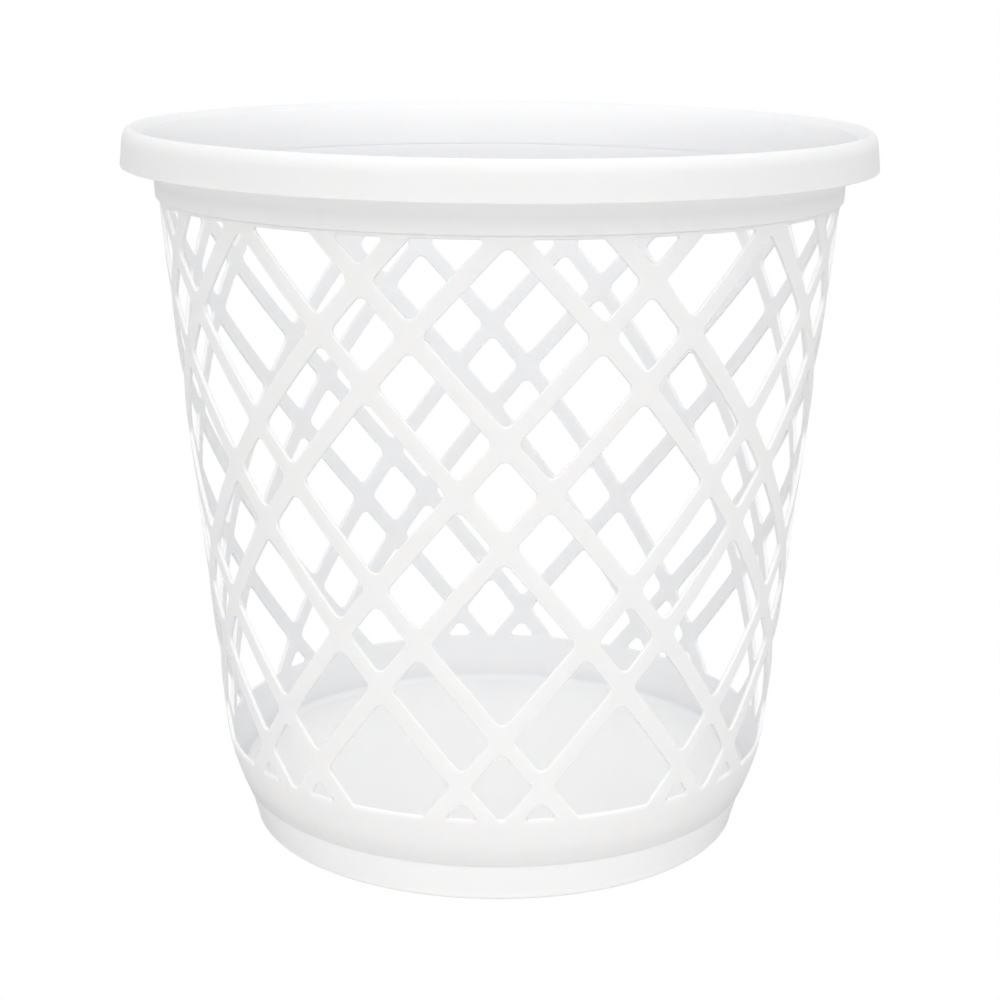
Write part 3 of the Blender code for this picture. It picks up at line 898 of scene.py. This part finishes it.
def moulded(name, tint, roughness, seed, glow=0.16, grain=1.0, painted_glow=None):
    """Milky satin plastic that lets some light through.

    `glow` is the share of light through it, `grain` the strength of the relief, and
    `painted_glow`
    = (z0, z1, strength) painted light: emission that lifts the shade under the thin piece above.
    """
    material = bpy.data.materials.new(name)
    tree = empty_tree(material)
    place = add_node(tree, "TexCoord").outputs["Object"]
    axes = add_node(tree, "SeparateXYZ", {0: place}).outputs
    inward = inner_shade_mask(tree, axes)
    emission = {}
    # painted light: the wall glows where the ring above shades it
    if painted_glow:
        emission = {"Emission Strength": painted_glow_under_ring(tree, axes["Z"], *painted_glow),
                    "Emission Color": (*tint, 1.0)}

    colour = plastic_colour(tree, place, inward, tint, seed)
    rubbed = rubbed_marks(tree, place, seed)
    colour = add_colour_mix(tree, rubbed, colour, (0.978, 0.978, 0.978, 1.0), blend="MULTIPLY")

    # patchy gloss, rougher where it is rubbed
    patches = add_noise(tree, place, scale=38.0, detail=4.0, roughness=0.55)
    gloss = add_range(tree, patches, from_min=0.30, from_max=0.72,
                      to_min=roughness - 0.05, to_max=roughness + 0.06)
    gloss = add_math(tree, "MULTIPLY_ADD", rubbed, 0.10, gloss)

    plastic = add_node(tree, "BsdfPrincipled", {
        "Base Color": colour,
        "Roughness": gloss,
        "Normal": mould_relief(tree, place, grain),
        "IOR": 1.49,
        "Subsurface Weight": 0.55,
        "Subsurface Radius": (1.0, 0.92, 0.80),
        "Subsurface Scale": 0.0010,
        "Sheen Weight": 0.04,
        "Sheen Roughness": 0.5,
        **emission})
    through = add_node(tree, "BsdfTranslucent", {"Color": colour})
    both = add_node(tree, "MixShader", {0: glow, 1: plastic.outputs[0], 2: through.outputs[0]})
    add_node(tree, "OutputMaterial", {"Surface": both.outputs[0]})
    return material


# ------------------------------------------------------------------ pieces
def build_pieces():
    # painted light: one plastic is given three tints, lighter on the base and ring and darker on
    # the wall, to match the light that falls on each
    wall_plastic = moulded("wall_plastic_fine", tint=(0.893, 0.893, 0.897), roughness=0.40,
                           seed=1.0, glow=0.24, painted_glow=(0.2492, SKIRT_Z, 0.21))
    base_plastic = moulded("base_plastic_fine", tint=(0.948, 0.948, 0.950), roughness=0.42,
                           seed=2.0)
    ring_plastic = moulded("ring_plastic_fine", tint=(0.955, 0.955, 0.958), roughness=0.40,
                           seed=3.0, glow=0.42, grain=0.7)
    # object, material, slot, body it rides, CAD node it replaces
    pieces = ((wall_shell(), wall_plastic, "wall_plastic", "basket", "wall"),
              (base_shell(), base_plastic, "base_plastic", "basket", "base"),
              (ring_shell(), ring_plastic, "ring_plastic", "ring", "liner_ring"))
    for obj, material, slot, body, node in pieces:
        obj.data.materials.append(material)
        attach(obj, body)
        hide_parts(node)


# ------------------------------------------------------------------ studio
WHITE = (1.0, 1.0, 1.0, 1.0)
# strengths of the soft studio, by where the light comes from
LIGHT = {"top": 1.37, "midfront": 1.74, "midback": 0.88, "midside": 0.86,
         "lowfront": 1.82, "lowback": 0.75, "lowside": 0.86}
FLOOR_HALF, FLOOR_DROP = 6.0, 0.0002        # half side, and how far it lies below z = 0
FLOOR_BOUNCE = 0.45                         # grey of the paper
FLOOR_NEAR, FLOOR_FRONT, FLOOR_FAR = 0.0, 0.16, 0.17    # pools: all round, in front, everywhere


def floor_paper():
    """Plain white to the camera; to other rays grey paper with pools of light round the bin."""
    material = bpy.data.materials.new("floor_paper")
    tree = empty_tree(material)
    grey = (FLOOR_BOUNCE, FLOOR_BOUNCE, FLOOR_BOUNCE, 1.0)
    position = add_node(tree, "NewGeometry").outputs["Position"]
    axes = add_node(tree, "SeparateXYZ", {0: position}).outputs
    distance = add_math(tree, "SQRT", add_math(
        tree, "ADD", add_math(tree, "MULTIPLY", axes["X"], axes["X"]),
        add_math(tree, "MULTIPLY", axes["Y"], axes["Y"])))
    near = add_range(tree, distance, from_min=0.42, from_max=0.14, curve="SMOOTHSTEP")
    forward = add_math(tree, "DIVIDE", add_math(tree, "MULTIPLY", axes["Y"], -1.0),
                       add_math(tree, "ADD", distance, 0.001))
    ahead = add_range(tree, forward, from_min=0.15, from_max=1.0, curve="SMOOTHSTEP")
    pool = add_math(tree, "ADD", add_math(tree, "MULTIPLY", near, FLOOR_NEAR),
                    add_math(tree, "MULTIPLY", add_math(tree, "MULTIPLY", near, ahead),
                             FLOOR_FRONT))
    pool = add_math(tree, "ADD", pool, FLOOR_FAR)

    diffuse = add_node(tree, "BsdfDiffuse", {"Color": grey})
    glow = add_node(tree, "Emission", {"Color": WHITE, "Strength": pool})
    lit = add_node(tree, "AddShader", {0: diffuse.outputs[0], 1: glow.outputs[0]})
    seen = add_node(tree, "Emission", {"Color": WHITE})
    path = add_node(tree, "LightPath")
    mix = add_node(tree, "MixShader", {
        0: path.outputs["Is Camera Ray"], 1: lit.outputs[0], 2: seen.outputs[0]})
    add_node(tree, "OutputMaterial", {"Surface": mix.outputs[0]})
    return material


def build_floor(scene):
    mesh = bpy.data.meshes.new("floor")
    corners = [(x * FLOOR_HALF, y * FLOOR_HALF, -FLOOR_DROP)
               for x, y in ((-1, -1), (1, -1), (1, 1), (-1, 1))]
    mesh.from_pydata(corners, [], [(0, 1, 2, 3)])
    floor = bpy.data.objects.new("floor", mesh)
    scene.collection.objects.link(floor)
    mesh.materials.append(floor_paper())


def build_world(scene):
    """White to the camera, a soft studio to every other ray."""
    world = bpy.data.worlds.new("studio")
    scene.world = world
    tree = empty_tree(world)
    direction = add_node(tree, "TexCoord").outputs["Generated"]
    axes = add_node(tree, "SeparateXYZ", {0: direction}).outputs

    def ramp(value, low, high):
        return add_range(tree, value, low, high, curve="SMOOTHSTEP")

    def around(front, side, back, spread):
        """Strength by whether a direction points to the front, a side or the back."""
        to_front = ramp(add_math(tree, "MULTIPLY", axes["Y"], -1.0), spread - 0.12, spread + 0.12)
        to_back = ramp(axes["Y"], spread - 0.12, spread + 0.12)
        extra = add_math(tree, "ADD", add_math(tree, "MULTIPLY", to_front, front - side),
                         add_math(tree, "MULTIPLY", to_back, back - side))
        return add_math(tree, "ADD", extra, side)

    middle = around(LIGHT["midfront"], LIGHT["midside"], LIGHT["midback"], spread=0.3)
    low = around(LIGHT["lowfront"], LIGHT["lowside"], LIGHT["lowback"], spread=0.6)
    to_middle = ramp(axes["Z"], 0.25, 0.45)
    to_top = ramp(axes["Z"], 0.65, 0.85)
    strength = add_math(
        tree, "ADD",
        add_math(tree, "MULTIPLY", low, add_math(tree, "SUBTRACT", 1.0, to_middle)),
        add_math(tree, "MULTIPLY", middle, to_middle))
    strength = add_math(
        tree, "ADD",
        add_math(tree, "MULTIPLY", strength, add_math(tree, "SUBTRACT", 1.0, to_top)),
        add_math(tree, "MULTIPLY", to_top, LIGHT["top"]))

    lit = add_node(tree, "Background", {"Color": WHITE, "Strength": strength})
    seen = add_node(tree, "Background", {"Color": WHITE, "Strength": 1.0})
    path = add_node(tree, "LightPath")
    mix = add_node(tree, "MixShader", {
        0: path.outputs["Is Camera Ray"], 1: lit.outputs[0], 2: seen.outputs[0]})
    add_node(tree, "OutputWorld", {"Surface": mix.outputs[0]})


# ------------------------------------------------------------------ camera
CAMERA_ANGLE = math.radians(-1.262)         # round the axis from the front
CAMERA_DISTANCE, CAMERA_HEIGHT = 0.79435, 0.32842
CAMERA_PITCH, CAMERA_ROLL = 0.25120, 0.008225   # radians: looking down, right side up
FRAME_MM, LENS_MM = 36.0, 75.888
CAMERA_SHIFT = 0.0029                       # sideways, as a share of the frame


def build_camera(scene):
    sin, cos = math.sin(CAMERA_ANGLE), math.cos(CAMERA_ANGLE)
    position = Vector((CAMERA_DISTANCE * sin, -CAMERA_DISTANCE * cos, CAMERA_HEIGHT))
    level = Vector((-sin, cos, 0.0))
    forward = level * math.cos(CAMERA_PITCH) - Vector((0, 0, 1)) * math.sin(CAMERA_PITCH)
    right = forward.cross(Vector((0, 0, 1))).normalized()
    up = right.cross(forward).normalized()
    rolled_right = right * math.cos(CAMERA_ROLL) + up * math.sin(CAMERA_ROLL)
    rolled_up = -right * math.sin(CAMERA_ROLL) + up * math.cos(CAMERA_ROLL)
    matrix = Matrix.Identity(4)
    for k in range(3):
        matrix[k][:] = (rolled_right[k], rolled_up[k], -forward[k], position[k])
    camera = bpy.data.cameras.new("camera")
    camera.sensor_width = FRAME_MM
    camera.sensor_fit = "HORIZONTAL"
    camera.lens = LENS_MM
    camera.shift_x = CAMERA_SHIFT
    camera.clip_start = 0.01
    obj = bpy.data.objects.new("camera", camera)
    obj.matrix_world = matrix
    scene.collection.objects.link(obj)
    scene.camera = obj


# ------------------------------------------------------------------ build
build_pieces()
main_scene = bpy.context.scene
main_scene.view_settings.view_transform = "Standard"
main_scene.view_settings.look = "None"
main_scene.view_settings.exposure = 0.0
main_scene.view_settings.gamma = 1.0
build_floor(main_scene)
build_world(main_scene)
build_camera(main_scene)
